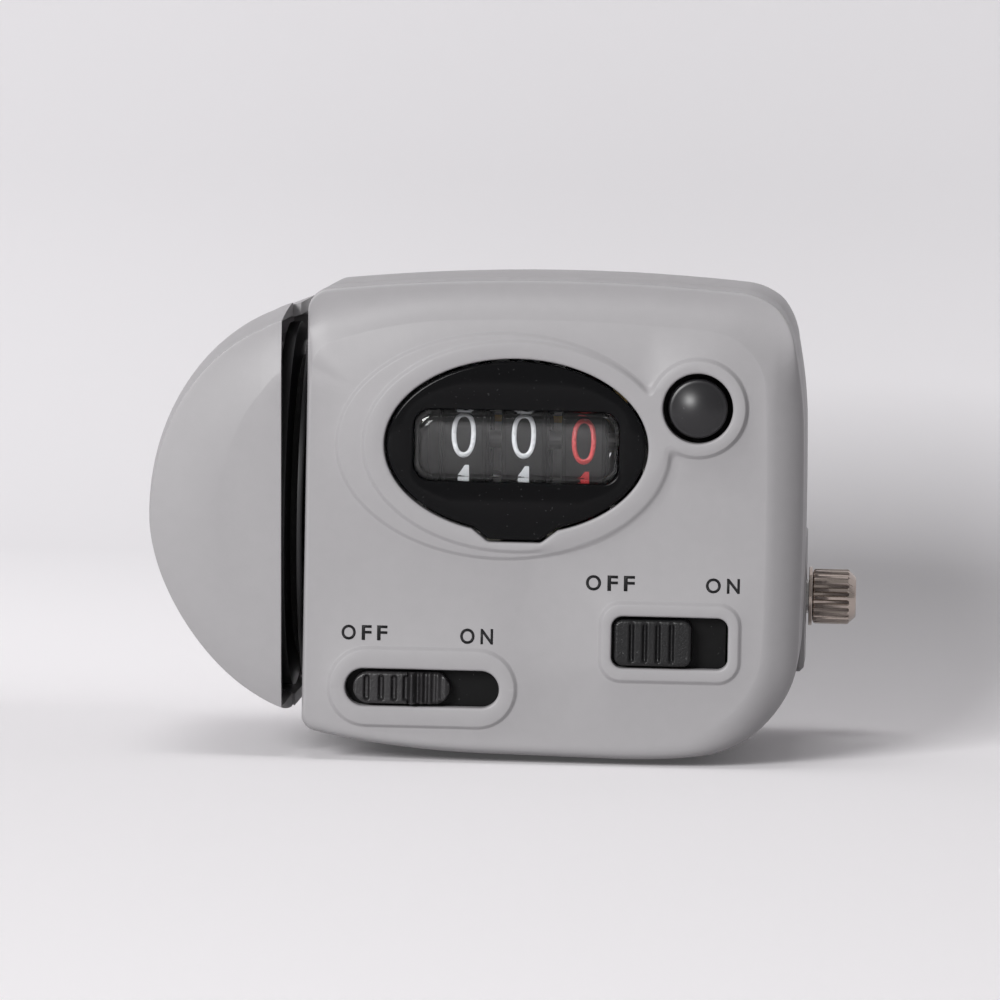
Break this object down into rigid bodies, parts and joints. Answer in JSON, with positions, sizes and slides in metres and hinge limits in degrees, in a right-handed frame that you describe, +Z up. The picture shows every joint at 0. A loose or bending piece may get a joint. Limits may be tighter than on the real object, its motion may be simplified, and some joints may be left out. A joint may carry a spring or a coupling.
{
  "type": "fishing line counter",
  "caption": "Clip-on fishing rod line counter: a grooved measuring wheel in a side pod drives number drums behind a window, with a reset button, line lock, light and rod clamp.",
  "frame": {"origin": "centre of the bounding box at its lowest level, on the surface that the counter stands on", "axes": "+X to the right of the face, from the pod towards the thumb knob; +Y from the face to the rod clamp; +Z up, along the rod"},
  "size_m": [0.079, 0.0518, 0.0534],
  "materials": {
    "body_plastic": "satin metallic grey paint",
    "black_gloss": "high gloss",
    "clear_lens": "clear, polished",
    "black_plastic": "fine satin",
    "drum_black": "satin",
    "nylon": "natural nylon",
    "steel": "bright rolled",
    "brass": "turned",
    "rubber": "matte",
    "nickel": "dull nickel plate",
    "circuit_board": "solder mask",
    "lamp_clear": "clear, polished"
  },
  "bodies": {
    "housing": {"front_cover": "body_plastic", "rear_housing": "body_plastic", "pod_cover": "body_plastic", "pod_frame": "body_plastic", "window_mask": "black_gloss", "window_lens": "clear_lens", "clamp_bracket": "body_plastic", "bracket_pad": "rubber", "counter_frame": "steel", "drum_shaft": "steel", "pinion_shaft": "steel", "idler_pin": "steel", "pod_bush": "brass", "housing_bush": "brass", "reset_spring": "steel", "lock_pivot_pin": "steel", "slide_switch": "steel", "circuit_board": "circuit_board", "lamp": "lamp_clear", "coin_cell": "steel", "cell_contact": "brass", "housing_screw_1": "steel", "housing_screw_2": "steel", "housing_screw_3": "steel", "housing_screw_4": "steel", "pod_screw_1": "steel", "pod_screw_2": "steel", "ear_screw_1": "steel", "ear_screw_2": "steel", "bracket_screw_1": "steel", "bracket_screw_2": "steel", "bracket_screw_3": "steel", "bracket_screw_4": "steel"},
    "wheel": {"measuring_wheel": "black_plastic", "traction_ring": "rubber", "wheel_shaft": "steel", "wheel_pinion": "brass", "shaft_clip": "steel"},
    "idler": {"idler_gear": "nylon"},
    "tenths": {"tenths_drum": "drum_black"},
    "metres": {"metres_drum": "drum_black"},
    "tens": {"tens_drum": "drum_black"},
    "pinion_1": {"transfer_pinion_1": "nylon"},
    "pinion_2": {"transfer_pinion_2": "nylon"},
    "reset": {"reset_button": "black_plastic"},
    "reset_rocker": {"reset_lever": "nylon", "reset_arm": "nylon", "reset_lever_pin": "steel"},
    "line_lock": {"line_lock_slider": "black_plastic"},
    "lock_arm": {"lock_lever": "nylon", "lock_pad": "rubber"},
    "light": {"light_slider": "black_plastic"},
    "door": {"battery_door": "body_plastic"},
    "screw": {"clamp_screw": "steel", "thumb_knob": "nickel", "screw_washer": "nickel", "screw_clip": "steel"},
    "jaw": {"clamp_jaw": "body_plastic", "jaw_pad": "rubber"}
  },
  "joints": [
    {"name": "wheel_spin", "type": "hinge", "parent": "housing", "child": "wheel", "pos_m": [-0.02155, -0.00135, 0.0268], "axis": [1, 0, 0], "continuous": true},
    {"name": "idler_spin", "type": "hinge", "parent": "housing", "child": "idler", "pos_m": [0.01365, -0.00106, 0.03555], "axis": [1, 0, 0], "continuous": true},
    {"name": "tenths_spin", "type": "hinge", "parent": "housing", "child": "tenths", "pos_m": [0.01, -0.01105, 0.0351], "axis": [1, 0, 0], "continuous": true},
    {"name": "metres_spin", "type": "hinge", "parent": "housing", "child": "metres", "pos_m": [0.003, -0.01105, 0.0351], "axis": [1, 0, 0], "continuous": true},
    {"name": "tens_spin", "type": "hinge", "parent": "housing", "child": "tens", "pos_m": [-0.004, -0.01105, 0.0351], "axis": [1, 0, 0], "continuous": true},
    {"name": "pinion_1_spin", "type": "hinge", "parent": "housing", "child": "pinion_1", "pos_m": [0.006, -0.01105, 0.0246], "axis": [1, 0, 0], "continuous": true},
    {"name": "pinion_2_spin", "type": "hinge", "parent": "housing", "child": "pinion_2", "pos_m": [-0.0005, -0.01105, 0.0246], "axis": [1, 0, 0], "continuous": true},
    {"name": "reset_press", "type": "slide", "parent": "housing", "child": "reset", "axis": [0, 1, 0], "range_m": [0, 0.002], "stiffness_N_per_m": 400, "springref_m": -0.001},
    {"name": "reset_rock", "type": "hinge", "parent": "housing", "child": "reset_rocker", "pos_m": [-0.00655, -0.00755, 0.0486], "axis": [1, 0, 0], "range_deg": [0, 12.9]},
    {"name": "line_lock_slide", "type": "slide", "parent": "housing", "child": "line_lock", "axis": [1, 0, 0], "range_m": [0, 0.0044]},
    {"name": "lock_arm_swing", "type": "hinge", "parent": "housing", "child": "lock_arm", "pos_m": [-0.01705, -0.01955, 0.0202], "axis": [0, 1, 0], "range_deg": [-21.02, 0]},
    {"name": "light_slide", "type": "slide", "parent": "housing", "child": "light", "axis": [1, 0, 0], "range_m": [0, 0.0036]},
    {"name": "door_turn", "type": "hinge", "parent": "housing", "child": "door", "pos_m": [0.0028, 0.00945, 0.0385], "axis": [0, 1, 0], "range_deg": [0, 30]},
    {"name": "clamp_screw_turn", "type": "hinge", "parent": "housing", "child": "screw", "pos_m": [0.03385, 0.0191, 0.016], "axis": [1, 0, 0], "range_deg": [0, 2701]},
    {"name": "jaw_close", "type": "slide", "parent": "housing", "child": "jaw", "axis": [-1, 0, 0], "range_m": [0, 0.006]}
  ],
  "couplings": [
    {"joint": "idler_spin", "follows": "wheel_spin", "ratio": -0.4},
    {"joint": "tenths_spin", "follows": "wheel_spin", "ratio": 0.1},
    {"joint": "metres_spin", "follows": "wheel_spin", "ratio": 0.01},
    {"joint": "tens_spin", "follows": "wheel_spin", "ratio": 0.001},
    {"joint": "pinion_1_spin", "follows": "wheel_spin", "ratio": -0.025},
    {"joint": "pinion_2_spin", "follows": "wheel_spin", "ratio": -0.0025},
    {"joint": "reset_rock", "follows": "reset_press", "rad_per_m": 112.36},
    {"joint": "lock_arm_swing", "follows": "line_lock_slide", "rad_per_m": -83.333},
    {"joint": "clamp_screw_turn", "follows": "jaw_close", "rad_per_m": 7854}
  ]
}
